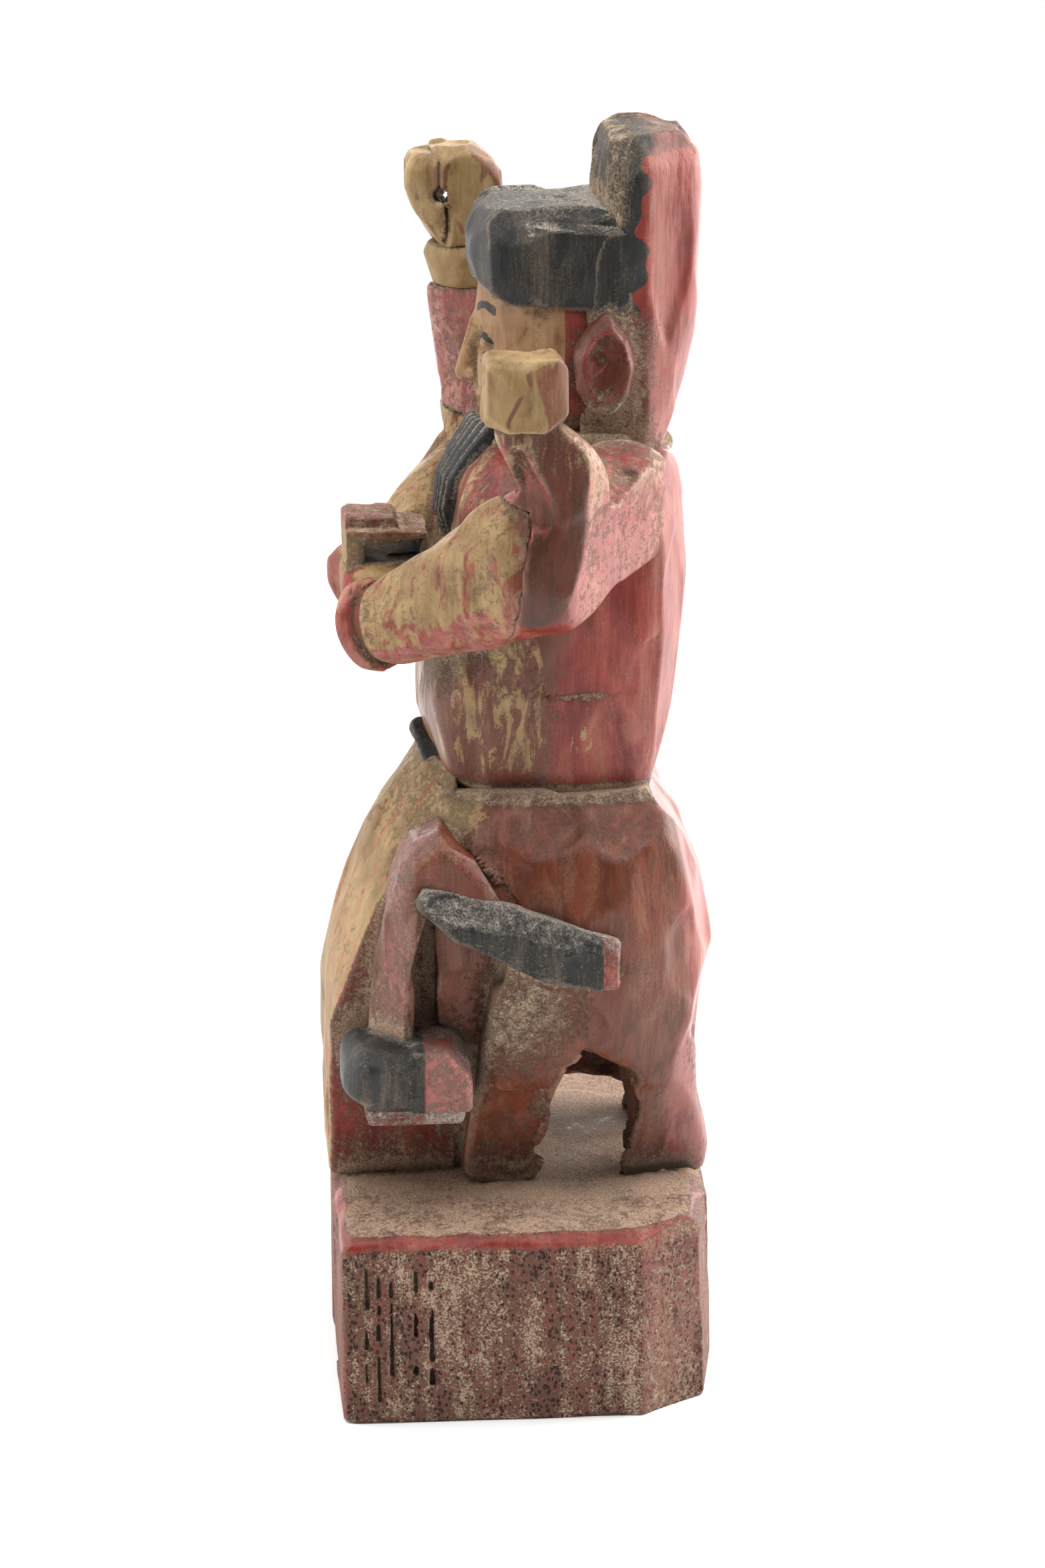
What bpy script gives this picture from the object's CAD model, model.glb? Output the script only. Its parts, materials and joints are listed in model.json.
"""Looks for a carved and painted wooden ancestor figure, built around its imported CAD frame.

Every form is a distance field in millimetres in the CAD frame (the figure faces -Y and its own
left is +X). carve() turns a field into a mesh, planes it into knife facets and stores where
paint, dust, dirt and wear lie. The materials read those stored amounts.
"""
import json
import math

import bpy
import numpy as np
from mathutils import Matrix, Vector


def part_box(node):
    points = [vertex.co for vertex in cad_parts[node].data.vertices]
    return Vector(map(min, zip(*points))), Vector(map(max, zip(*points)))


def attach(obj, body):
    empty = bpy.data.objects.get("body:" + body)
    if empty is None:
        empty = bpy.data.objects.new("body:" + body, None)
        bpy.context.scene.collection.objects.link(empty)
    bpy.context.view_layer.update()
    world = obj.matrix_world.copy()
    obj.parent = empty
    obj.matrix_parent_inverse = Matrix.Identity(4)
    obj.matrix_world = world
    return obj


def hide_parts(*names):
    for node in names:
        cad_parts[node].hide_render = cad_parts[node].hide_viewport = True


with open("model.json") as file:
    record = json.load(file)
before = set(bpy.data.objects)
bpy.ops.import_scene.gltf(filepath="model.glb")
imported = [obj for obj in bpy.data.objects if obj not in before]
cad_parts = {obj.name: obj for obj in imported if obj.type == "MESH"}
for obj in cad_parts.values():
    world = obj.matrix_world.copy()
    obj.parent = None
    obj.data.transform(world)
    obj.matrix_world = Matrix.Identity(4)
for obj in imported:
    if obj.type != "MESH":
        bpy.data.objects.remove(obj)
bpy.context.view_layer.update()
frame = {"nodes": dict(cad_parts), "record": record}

import openvdb
from mathutils import Vector

MM = 0.001


def box_mm(node):
    """A CAD node's lowest and highest corners in millimetres."""
    low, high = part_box(node)
    return np.array(low) / MM, np.array(high) / MM


# Places that the forms hang on, all read from the frame.
PLINTH_LOW, PLINTH_HIGH = box_mm("plinth")
PLINTH_TOP = PLINTH_HIGH[2]
WAIST = box_mm("torso")[0][2]
SHOULDER = box_mm("torso")[1][2]
CHIN = box_mm("head")[0][2]
BROW = box_mm("head")[1][2]
CAP_TOP = box_mm("hat_cap")[1][2]
CROWN_TOP = box_mm("hat_crown")[1][2]
FLOOR_Z = PLINTH_LOW[2] * MM


# ------------------------------------------------------------------ distance fields

def smin(a, b, k):
    """Union of two fields, blended over k mm."""
    h = np.maximum(k - np.abs(a - b), 0) / k
    return np.minimum(a, b) - h * h * k * 0.25


def smax(a, b, k):
    """Intersection of two fields, rounded over k mm."""
    return -smin(-a, -b, k)


def outline(u, v, pts):
    """Distance to a closed outline in a plane, negative inside."""
    shape = np.broadcast(u, v).shape
    dist = np.full(shape, 1e9, np.float32)
    inside = np.zeros(shape, bool)
    for (ax, ay), (bx, by) in zip(pts, pts[1:] + pts[:1]):
        ex, ey = bx - ax, by - ay
        t = np.clip(((u - ax) * ex + (v - ay) * ey) / (ex * ex + ey * ey), 0, 1)
        dist = np.minimum(dist, (u - ax - ex * t) ** 2 + (v - ay - ey * t) ** 2)
        if ey:
            inside ^= ((v >= min(ay, by)) & (v < max(ay, by))) & (u < ax + (v - ay) * ex / ey)
    return np.where(inside, -1, 1) * np.sqrt(dist)


def ball(x, y, z, at, radii):
    """An ellipsoid, as a near distance."""
    r = np.broadcast_to(np.asarray(radii, float), 3)
    px, py, pz = (x - at[0]) / r[0], (y - at[1]) / r[1], (z - at[2]) / r[2]
    return (np.sqrt(px * px + py * py + pz * pz) - 1) * float(min(r))


def cone(x, y, z, a, b, ra, rb):
    """A round bar from a to b whose radius goes from ra to rb."""
    a, b = np.asarray(a, float), np.asarray(b, float)
    e = b - a
    t = ((x - a[0]) * e[0] + (y - a[1]) * e[1] + (z - a[2]) * e[2]) / (e @ e)
    t = np.clip(t, 0, 1)
    dx, dy, dz = x - a[0] - e[0] * t, y - a[1] - e[1] * t, z - a[2] - e[2] * t
    return np.sqrt(dx * dx + dy * dy + dz * dz) - (ra + (rb - ra) * t)


def block(x, y, z, low, high, r=0.0):
    """A box between two corners with edges rounded to r."""
    c, h = (np.add(low, high) / 2), (np.subtract(high, low) / 2 - r)
    qx, qy, qz = np.abs(x - c[0]) - h[0], np.abs(y - c[1]) - h[1], np.abs(z - c[2]) - h[2]
    out = np.sqrt(np.maximum(qx, 0) ** 2 + np.maximum(qy, 0) ** 2 + np.maximum(qz, 0) ** 2)
    return out + np.minimum(np.maximum(np.maximum(qx, qy), qz), 0) - r


def plane(x, y, z, at, normal):
    """Distance past a plane, positive on the side that the normal points to."""
    n = np.asarray(normal, float) / np.linalg.norm(normal)
    return (x - at[0]) * n[0] + (y - at[1]) * n[1] + (z - at[2]) * n[2]


def curve_at(t, pts):
    """A value that runs smoothly through (t, value) points."""
    ts, vs = zip(*pts)
    return np.interp(t, ts, vs)


def wobble(x, y, z, size, seed=0.0):
    """A slow unevenness between -1 and 1, for a surface cut by hand."""
    a = np.sin(x / size + 2.1 * np.sin(y / size * 0.7 + seed) + seed)
    b = np.sin(y / size * 0.9 + 1.7 * np.sin(z / size * 0.6 + 2 * seed) + 1.3)
    c = np.sin(z / size * 0.8 + 1.9 * np.sin(x / size * 0.5 + 3 * seed) + 2.6)
    return (a + b + c) / 3


# ------------------------------------------------------------------ forms: plinth and robe

PLINTH_PLAN = [(-57.4, -42.0), (-29, -44.2), (0, -45.4), (29, -45.8), (57.4, -45.4), (58.8, 23.2),
               (49.0, 38), (25, 42.6), (0, 43.4), (-25, 42.6), (-49.0, 38), (-58.8, 23.2)]
ROBE_SIDE = [(-22, 36), (41.4, 36), (42.4, 46), (43, 49), (41.5, 55), (38.8, 63), (38.6, 73), (40, 83),
             (42.8, 92), (44.2, 100), (43.6, 108), (40, 118), (34.5, 128), (30, 134), (27, 138),
             (26.5, 146), (-18, 146), (-21, 134), (-23, 128)]
SEAT_HALF = [(36, 22), (44, 23), (58, 28.5), (74, 37), (88, 43), (100, 47), (107, 47.6), (116, 46.2),
             (126, 41.5), (134, 35.5), (138, 31.8), (148, 30)]
ROBE_PLAN = [(-48, -24), (48, -24), (48, 12), (44, 24), (34, 36), (18, 43.5), (0, 45),
             (-18, 43.5), (-34, 36), (-44, 24), (-48, 12)]
ARCH = [(1.0, 38), (2.2, 50), (3.0, 60), (4.6, 69), (7.2, 77), (11, 80.4), (14.5, 80.8), (20.5, 75.6),
        (23.8, 66), (24.2, 59), (22.2, 52), (22.6, 46), (21, 38)]
REAR_ARCH = [(-13, 38), (13, 38), (12.2, 60), (8, 71), (0, 73), (-8, 71), (-12.2, 60)]
# The dark side panel behind the shin, and the trouser leg between the robe's hem and the scabbard.
SIDE_PANEL = [(-70, 120), (-27, 120), (-10, 111.5), (-7.4, 106), (-7.6, 101), (-9.7, 86.5), (-12, 62),
              (-13.4, 47), (-13.8, 30), (-70, 30)]
TROUSER = [(-70, 150), (-21.5, 133.2), (-16, 130.6), (-11.7, 127), (-7.6, 122.4), (-4.1, 117), (1, 108),
           (-28, 117), (-70, 110)]
# The seat arch's mouth on the far side is squashed to about 8 mm high. The CAD and the stated
# opening seat_arch leave it as high as the near one: report.md names this mismatch.
FAR_MOUTH_SQUASH = 3.2
# Worm galleries in the near face of the plinth.
SLOT_SEED = 7
SLOT_AT = 57.0
SIDE_LEAN = 0.030
SLOT_ROWS = (-39.0, -36.2, -33.4, -28.0, -24.4)
SLOTS_IN_ROW = 6


def plinth_side(x, y, z):
    """Distance past the plinth's upright sides, which lean in a little towards the top."""
    lean = 1 + 0.03 * (1 - z / PLINTH_TOP) * (y < 0)
    return outline(x, y * lean, PLINTH_PLAN) + SIDE_LEAN * z


def plinth_field(x, y, z):
    side = plinth_side(x, y, z)
    d = smax(side, np.abs(z - PLINTH_TOP / 2) - PLINTH_TOP / 2, 1.2)
    bevel = (side + z - PLINTH_TOP + 2.6 + 0.9 * np.sin(y * 0.14 + x * 0.09)
             + 0.4 * np.sin(y * 0.5 + x * 0.3))
    d = smax(d, bevel * 0.7, 0.9)
    d = d + 0.22 * wobble(x, y, z, 6.0, 0.4) * (z > 1)
    rng = np.random.default_rng(SLOT_SEED)
    for row in SLOT_ROWS:
        for _ in range(SLOTS_IN_ROW):
            at_y = row + rng.uniform(-0.15, 0.15)
            low = rng.uniform(5, 34)
            high = min(low + rng.uniform(1, 7), 38)
            r = rng.uniform(0.70, 0.95)
            foot, head = [(SLOT_AT - SIDE_LEAN * at_z, at_y, at_z) for at_z in (low, high)]
            slot = cone(x, y, z, foot, head, r, r * 0.8)
            d = np.maximum(d, -slot)
    return d


def robe_field(x, y, z):
    ax = np.abs(x)
    half = curve_at(z, SEAT_HALF)
    d = smax(outline(y, z, ROBE_SIDE) + 0 * x, (ax - half) * 0.9, 7)
    d = smax(d, outline(x, y, ROBE_PLAN) + 0 * z, 8)
    d = smax(d, plane(ax, y, z, (30, -15, 134.5), (0.50, -0.55, 0.67)), 4)
    d = smax(d, plane(ax, y, z, (22.5, 28, 44), (0.90, 0.25, -0.35)), 3)
    trouser = smax(outline(y, z, TROUSER) + 0 * x, half - 2.4 - ax, 0.6)
    d = smax(d, -trouser, 1.2)
    side_panel = smax(outline(y, z, SIDE_PANEL) + 0 * x, half - 9.5 - ax, 1.0)
    d = smax(d, -side_panel, 1.4)
    post_notch = block(ax, y, z, (20, -16.5, 57.5), (60, -3.4, 60.5), 0.4)
    d = smax(d, -smax(post_notch, half - 0.9 - ax, 0.3), 0.8)
    ragged = 0.5 * np.sin(x * 0.55 + z * 0.4) + 0.35 * np.sin(x * 1.3 + y)
    wide = 1 + 0.42 * np.clip((12 - x) / 20, 0, 1)
    low = 1 + FAR_MOUTH_SQUASH * np.clip((-10 - x) / 15, 0, 1)
    arch = outline(9 + (y - 9) / wide, PLINTH_TOP + (z - PLINTH_TOP) * low, ARCH)
    d = smax(d, -(arch + ragged), 1.4)
    rear = smax(outline(x, z, REAR_ARCH) + 0 * y, 18 - y, 1.0)
    d = smax(d, -(rear + ragged * 0.6), 1.4)
    hollow = block(x, y, z, (-20, 0, 30), (20, 30, 74), 4)
    d = smax(d, -hollow, 2)
    for side, at_y in ((1, 28.5), (1, 33.5), (-1, 30)):
        d = smax(d, -ball(x, y, z, (27 * side, at_y, 45.4), (4, 1.7, 1.5)), 0.4)
    d = d + 0.15 * wobble(x, y, z, 5.0, 1.1)
    return np.maximum(np.maximum(d, z - WAIST - 0.1), PLINTH_TOP - 0.1 - z)


PANEL_FRONT = [(40, -44.6), (60, -45.3), (86, -45.1), (99, -43.0), (112, -39.3), (125, -34.4),
               (136, -27.0), (141, -23.5), (146, -19.0)]
PANEL_RECEDE = [(40, 0.2), (84, 0.6), (99, 3.0), (113, 5.5), (129, 11.8), (137, 13.0), (146, 12.0)]
PANEL_HALF = 28.5
PANEL_FOOT = 16.0


def panel_half_at(z):
    """The front panel narrows from the knees down to the plinth."""
    return curve_at(z, [(PLINTH_TOP, PANEL_FOOT), (66, 21.5), (96, PANEL_HALF), (134, PANEL_HALF - 1.5),
                        (146, 20)])


def panel_field(x, y, z):
    ax = np.abs(x)
    front = curve_at(z, PANEL_FRONT) + curve_at(z, PANEL_RECEDE) * (ax / PANEL_HALF) ** 2
    d = smax(front - y, (ax - panel_half_at(z)) * 0.95, 1.0)
    d = d + 0.35 * wobble(x, y, z, 3.2, 0.7) * (ax > panel_half_at(z) - 3)
    d = smax(d, y + 16, 0.5)
    return np.maximum(smax(d, z - 142.5, 3), PLINTH_TOP - 0.1 - z)


SHIN = [(-20.5, 133.4), (-25.5, 130.6), (-29.5, 125.8), (-32.4, 114.8), (-34.2, 101.6), (-36, 80),
        (-27.8, 80), (-27.2, 106), (-24, 116), (-12, 112), (-8, 119), (-13, 127)]


def leg_field(x, y, z):
    d = smax(outline(y, z, SHIN) + 0 * x, np.abs(x - 35.5) - 9.8, 2.4)
    d = smax(d, plane(x, y, z, (45.2, -27.0, 110), (0.66, -0.75, -0.05)), 1.6)
    knee = plane(x, y, z, (44.6, -21, 131), (0.55, -0.2, 0.81))
    d = smax(d, knee, 2.0)
    return smax(d, 83 - z, 1)


def far_leg_field(x, y, z):
    """The right shin, set a little further back and lower than the left one."""
    return np.maximum(leg_field(-x, y - 3.0, z + 4.5), PANEL_HALF - 1.5 + x)


TOE_END = -25.2


def boot_field(x, y, z):
    toe = block(x, y, z, (29, -43, 71.2), (50.2, TOE_END, 85.4), 3.0)
    toe = smax(toe, plane(x, y, z, (45, -42.4, 80.5), (0.1, -0.72, 0.68)) - 0.2, 1.6)
    toe = smax(toe, plane(x, y, z, (50, -39.5, 78), (0.62, -0.78, 0.05)), 1.6)
    toe = smax(toe, plane(x, y, z, (50, -33, 82.4), (0.6, 0.05, 0.8)), 1.6)
    toe = smax(toe, plane(x, y, z, (46, -40, 73.5), (0.15, -0.5, -0.85)), 1.6)
    chip = ball(x, y, z, (50.4, -27.6, 77.8), (1.6, 1.8, 3.6))
    toe = smax(toe, -chip, 0.8)
    ankle = block(x, y, z, (31, -28, 68.4), (49.2, -14.4, 85.4), 1.0)
    ankle = smax(ankle, plane(x, y, z, (49, -17.6, 82.0), (0.1, 0.75, 0.66)), 1.2)
    ankle = smax(ankle, plane(x, y, z, (49, -20, 70.0), (0.12, 0.22, -0.97)), 1.0)
    sole = block(x, y, z, (30, -38, 67.4), (47.5, -16, 74), 1.6)
    return np.minimum(np.minimum(toe, ankle), sole)


def far_boot_field(x, y, z):
    return boot_field(-x, y - 2.5, z)


SCABBARD = [(-26.4, 120.4), (-25.4, 122.0), (-21.3, 121.6), (0.2, 115.8), (14.8, 111), (18.4, 108.6),
            (18.0, 100), (13.7, 99.6), (1.4, 101.8), (-10.3, 107.3), (-19, 111.6), (-24.7, 117.6)]


def scabbard_field(x, y, z):
    d = smax(outline(y, z, SCABBARD) + 0 * x, np.abs(x - 46.0) - 4.9, 1.6)
    d = smax(d, plane(x, y, z, (50.6, -6, 113.5), (0.72, 0.18, 0.67)), 1.0)
    notch = block(x, y, z, (49.6, 14.4, 90), (60, 15.2, 120), 0.2)
    return smax(d, -notch, 0.5)


# ------------------------------------------------------------------ forms: torso, head and hat

TORSO_SIDE = [(-12, 126), (-13.5, 137), (-19.5, 143), (-23.6, 151), (-24.3, 158), (-22.5, 168),
              (-18.5, 178), (-15.5, 190), (-14, 203), (-9, 214), (-2, 217), (26, 217), (33, 214.5), (36.6, 203),
              (38.3, 189), (37.4, 176), (35, 160), (31.5, 146), (28.6, 137), (28, 126)]
TORSO_FRONT = [(-50, 126), (27, 126), (26.6, 137), (27, 141), (29.5, 152), (32, 166), (34, 182),
               (34, 198), (29, 208), (20, 214), (14, 217), (-50, 217)]
TORSO_PLAN = [(-34, -8), (-24, -20), (-10, -25.5), (10, -25.5), (24, -20), (34, -8), (35, 13),
              (27.5, 29.5), (13, 38.5), (-13, 38.5), (-27.5, 29.5), (-35, 13)]
SCARS = [(4, 161.2, 0.7), (8.5, 160.8, 0.9), (12, 161.5, 0.6), (16, 160.6, 0.8), (20, 159.7, 0.6)]


def torso_body(x, y, z):
    ax = np.abs(x)
    d = smax(outline(y, z, TORSO_SIDE) + 0 * x, outline(ax, z, TORSO_FRONT) + 0 * y, 10)
    d = smax(d, outline(x, y, TORSO_PLAN) + 0 * z, 9)
    for at_y, at_z, r in SCARS:
        d = smax(d, -ball(ax, y, z, (31.3, at_y, at_z), (2.2, r * 1.6, r)), 0.4)
    d = smax(d, plane(ax, y, z, (26, -12, 138.5), (0.45, -0.62, -0.64)), 3)
    return np.maximum(d + 0.12 * wobble(x, y, z, 4.0, 2.0), WAIST - 0.2 - z)


COVER_LOW, COVER_HIGH = box_mm("back_cover")
COVER_GAP = 0.3


def cavity_field(x, y, z):
    inner = block(x, y, z, (COVER_LOW[0] + 1.7, 13, COVER_LOW[2] + 1.7),
                  (COVER_HIGH[0] - 1.7, 60, COVER_HIGH[2] - 1.7))
    mouth = block(x, y, z, COVER_LOW - COVER_GAP, (COVER_HIGH[0] + COVER_GAP, 60, COVER_HIGH[2] + COVER_GAP))
    return np.minimum(inner, mouth)


def torso_field(x, y, z):
    return np.maximum(torso_body(x, y, z), -cavity_field(x, y, z))


def cover_field(x, y, z):
    plug = block(x, y, z, COVER_LOW, (COVER_HIGH[0], 60, COVER_HIGH[2]), 0.3)
    return smax(torso_body(x, y, z), plug, 0.6)


def knot_field(x, y, z):
    d = cone(x, y, z, (3, -22.6, 147.0), (8.0, -19.8, 141.5), 1.8, 2.4)
    return smax(d, np.abs(x - 5.5) - 5.5, 1.2)


def collar_field(x, y, z):
    tilt = z + 0.06 * (y - 10)
    lower = smax((np.sqrt((x / 22.5) ** 2 + ((y - 12.5) / 22) ** 2) - 1) * 22,
                 np.abs(tilt - SHOULDER - 0.6) - 1.5, 1.6)
    upper = smax((np.sqrt((x / 20) ** 2 + ((y - 12.5) / 19.5) ** 2) - 1) * 19,
                 np.abs(tilt - SHOULDER - 3.4) - 1.6, 1.6)
    return np.minimum(lower, upper)


HEAD_MID_Y = 6.0
FACE_BACK = 1.6                  # how far the face sits back under the hat's front
EYE_Z = (CHIN + BROW) / 2 + 4.5  # halfway down a head whose top the hat hides
NOSE_Z = EYE_Z - 9.5
MOUTH_Z = NOSE_Z - 5.0
EYE_X = 7.2


def head_field(x, y, z):
    ax, y = np.abs(x), y - FACE_BACK
    skull = ball(x, y, z, (0, HEAD_MID_Y + 1, EYE_Z + 4), (19.5, 18.0, 25))
    jaw = ball(x, y, z, (0, HEAD_MID_Y + 2, MOUTH_Z + 2), (16.5, 17.5, 14))
    d = smin(skull, jaw, 8)
    chin = ball(x, y, z, (0, -7.0, CHIN + 4.2), (5.2, 4.0, 4.0))
    d = smin(d, chin, 4)
    cheek = ball(ax, y, z, (8.5, -6.0, NOSE_Z + 1.5), (5.0, 4.2, 5.0))
    d = smin(d, cheek, 4)
    socket = ball(ax, y, z, (EYE_X, -14.0, EYE_Z), (5.2, 4.4, 3.2))
    d = smax(d, -socket, 2.2)
    lid = ball(ax, y, z, (EYE_X, -8.3, EYE_Z - 0.3), (3.7, 2.9, 2.1))
    d = smin(d, lid, 0.6)
    bridge = cone(x, y, z, (0, -10.4, EYE_Z + 3), (0, -13.4, NOSE_Z + 1.2), 1.7, 2.1)
    d = smin(d, bridge, 1.6)
    wing = ball(ax, y, z, (2.2, -11.6, NOSE_Z + 0.6), (1.7, 2.0, 1.6))
    d = smin(d, wing, 1.0)
    lip = ball(x, y, z, (0, -10.0, MOUTH_Z + 1.0), (4.6, 2.3, 1.3))
    d = smin(d, lip, 0.7)
    lip = ball(x, y, z, (0, -9.6, MOUTH_Z - 1.3), (3.8, 2.3, 1.3))
    d = smin(d, lip, 0.7)
    part = cone(ax, y, z, (0, -12.0, MOUTH_Z - 0.1), (4.4, -10.8, MOUTH_Z + 0.3), 0.5, 0.35)
    d = smax(d, -part, 0.4)
    d = smax(d, z - BROW - 1.5, 1)
    d = smax(d, CHIN - 0.5 - z, 1.5)
    return smax(d, y - 23, 2)


def ear_field(x, y, z):
    shell = ball(x, y, z, (20.2, 17.2, 232.8), (4.6, 6.4, 10.2))
    tip = cone(x, y, z, (19.5, 16.5, 236), (20.5, 17.8, 243.2), 4.5, 0.9)
    shell = smin(shell, tip, 3)
    bowl = ball(x, y, z, (26.4, 17.5, 233.2), (5.0, 5.0, 8.6))
    d = smax(shell, -bowl, 0.8)
    fold = cone(x, y, z, (20.6, 12.6, 229.5), (22.0, 17.2, 234.0), 1.9, 0.9)
    d = smin(d, fold, 1.0)
    notch = cone(x, y, z, (24.5, 13.2, 232.5), (24.5, 17.5, 236.0), 1.2, 0.8)
    return smax(d, -notch, 0.6)


CAP_STEP = 263.2
CAP_SIDE = [(-4.5, 246.2), (-9.6, 249.2), (-11.6, 254), (-11.2, 260), (-8.6, 264.6), (-4, 267.0),
            (4, CAP_TOP - 2), (24, CAP_TOP - 2), (24, 245.2), (16, 245.2)]


def cap_field(x, y, z):
    ax = np.abs(x)
    side = outline(y, z, CAP_SIDE) + 0 * x
    core = smax(side, ax - 17.6, 3.0)
    lobe = smax(side, ax - 21.6, 5.0)
    lobe = smax(lobe, y - 3.2 + 0.22 * (z - 262), 1.6)
    lobe = smax(lobe, z - 266.0 + 0.25 * (ax - 12), 3)
    rim = outline(x, y, [(-21, 24), (-22, 2), (-17, -8), (-7, -11.9), (7, -11.9), (17, -8), (22, 2),
                         (21, 24)]) + 0 * z
    plate_side = [(-2, 246.2), (1.6, CAP_STEP + 1.5), (19.6, CAP_STEP - 0.3), (24, CAP_STEP - 0.5),
                  (24, 245.2)]
    plate = smax(outline(y, z, plate_side) + 0 * x, ax - 21.0, 1.0)
    d = np.minimum(np.minimum(core, lobe), plate)
    d = smax(d, rim, 4.0)
    brim = z - (245.4 + 0.014 * (y - 8) ** 2 * (y < 8))
    return smax(d, -brim, 1.0)


CROWN_SIDE = [(12, 209), (29, 209), (31, 215.5), (33.2, 220), (35.2, 228), (37.4, 238), (38.3, 250),
              (39.0, 262), (39.0, 271), (38.0, 278.6), (35.4, 282.0), (29.5, CROWN_TOP - 1.6),
              (23.5, 282.6), (20, 281), (18.4, 278), (17.4, 270), (17, 262), (13, 250)]
CROWN_HALF = [(209, 16.0), (228, 18.0), (240, 19.2), (262, 20.4), (276, 19.8), (281, 18.0),
              (285, 15.0)]


def crown_field(x, y, z):
    ax = np.abs(x)
    half = curve_at(z, CROWN_HALF)
    chamfer = 0.95 * np.maximum(23.0 + (z - 262) * 0.04 - y, 0) * (z > CAP_STEP - 1)
    plan = ax - half + chamfer + 0.60 * np.maximum(y - 26, 0)
    d = smax(outline(y, z, CROWN_SIDE) + 0 * x, plan, 2.4)
    top = plane(ax, y, z, (15.5, 30, 283.0), (0.66, 0.0, 0.75)) - 0.2
    return smax(d, top, 2)


BEARD_FRONT = [(186, -15.0), (190, -16.6), (198, -19.2), (206, -18.4), (212, -15.4), (219, -11.2)]
BEARD_HALF = [(187.5, 0.2), (192, 2.8), (198, 5.2), (206, 8.2), (213, 10.8), (220, 12.5)]
STRANDS = 30


def strand_height(x, z):
    """How high a strand stands: 1 on its crest and 0 in the groove beside it."""
    fan = np.abs(x) / np.maximum(curve_at(z, BEARD_HALF), 0.5)
    return np.abs(np.sin(fan * STRANDS * 0.5 + 0.5 * np.sin(z * 0.25)))


def beard_field(x, y, z):
    ax = np.abs(x)
    half = curve_at(z, BEARD_HALF)
    fan = ax / np.maximum(half, 0.5)
    front = curve_at(z, BEARD_FRONT) + 4.4 * fan ** 2 * (half / 12) - 0.6 * strand_height(x, z) + 0.4
    d = smax(front - y, (ax - half) * 0.9, 1.6)
    d = smax(d, y - front - 7, 1)
    return smax(d, z - 219, 1.5)


# ------------------------------------------------------------------ forms: arms and hands

ELBOW = np.array([43.0, -1.0, 193.0])
MOUTH = np.array([20.5, -31.5, 176.5])
LEFT_WRIST = np.array([52.0, -2.0, 228.0])
RIGHT_WRIST = np.array([-47.0, -8.0, 240.0])
SLEEVE_FACE = 56.4               # the flat outer face of both arms
SLEEVE_AXIS = np.array([-0.66, -0.68, -0.33])


def arm_mass(x, y, z, wrist, bend, r, flat=True):
    """One side's two arms as one mass: sleeve, elbow, shoulder and raised arm."""
    fore = cone(x, y, z, ELBOW + [0.5, 0.5, 0.5], MOUTH + [2.5, 3.0, 1.0], 14.2, 9.0)
    web = cone(x, y, z, ELBOW + [1.0, -4.5, 5.5], MOUTH + [6.0, 7.5, 5.5], 10.5, 6.8)
    shoulder = cone(x, y, z, (25.0, 20.0, 203.5), ELBOW + [-1.0, 5.0, 5.0], 13.2, 13.6)
    d = smin(smin(fore, web, 5), shoulder, 5)
    d = smax(d, plane(x, y, z, MOUTH, SLEEVE_AXIS), 1.2)
    d = smax(d, plane(x, y, z, (SLEEVE_FACE, -7.0, 202), (0.62, -0.64, 0.45)), 1.2)
    d = smax(d, plane(x, y, z, (SLEEVE_FACE - 1, -4.0, 184), (0.70, -0.25, -0.68)), 1.2)
    lower = cone(x, y, z, ELBOW + [2.0, 4.0, 7.0], bend, 12.4, 8.2)
    upper = cone(x, y, z, bend, wrist - [0, 0, 2], 8.2, r)
    raised = smin(lower, upper, 4)
    if flat:
        raised = smax(raised, plane(x, y, z, bend + [6.0, -4.0, 0], (0.80, -0.60, -0.36)) - 0.4, 1.0)
    d = smin(d, raised, 4)
    d = smax(d, plane(x, y, z, (SLEEVE_FACE, 0, 200), (1, 0, 0.02)), 1.2)
    d = smax(d, plane(x, y, z, (SLEEVE_FACE, 7.5, 202), (0.60, 0.79, -0.06)), 1.2)
    return smax(d, z - wrist[2] + 0.2, 0.8)


def left_arms(x, y, z):
    return arm_mass(x, y, z, LEFT_WRIST, np.array([50.5, 6.2, 213.0]), 6.8)


def right_arms(x, y, z):
    wrist = RIGHT_WRIST * [-1, 1, 1]
    d = arm_mass(-x, y, z, wrist, np.array([48.0, -4.4, 211.0]), 8.0, flat=False)
    flutes = 0.35 * np.sin(np.arctan2(y + 5, -x - 46) * 9.0) * np.clip((z - 200) / 15, 0, 1)
    return d + flutes


def arm_split(y, z):
    """Where the gold forward sleeve ends and the red raised one begins."""
    return y + 2.4 - (z - 206) * 0.12 + 4.0 * np.maximum(z - 208.5, 0)


def arm_part(arms, side):
    """The forward sleeve (side 1) or the raised arm (side -1) of one side's arms."""
    return lambda x, y, z: smax(arms(x, y, z), side * arm_split(y, z) + 0 * x, 0.3)


def cuff_field(x, y, z):
    """A thick lip round the sleeve's mouth, with a cut groove behind it."""
    axis = SLEEVE_AXIS / np.linalg.norm(SLEEVE_AXIS)
    s = plane(x, y, z, MOUTH, axis)
    at = MOUTH + [1.0, 1.0, 0.6]
    px, py, pz = x - at[0] - axis[0] * s, y - at[1] - axis[1] * s, z - at[2] - axis[2] * s
    r = np.sqrt(px * px + py * py + (pz * 0.98) ** 2)
    lip = smax(r - 10.4, np.abs(s - 3.4) - 1.8, 1.6)
    neck = smax(r - 8.4, np.abs(s - 0.5) - 3.0, 0.6)
    d = np.minimum(lip, neck)
    return d + 0.2 * wobble(x, y, z, 2.6, 0.3)


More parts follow.
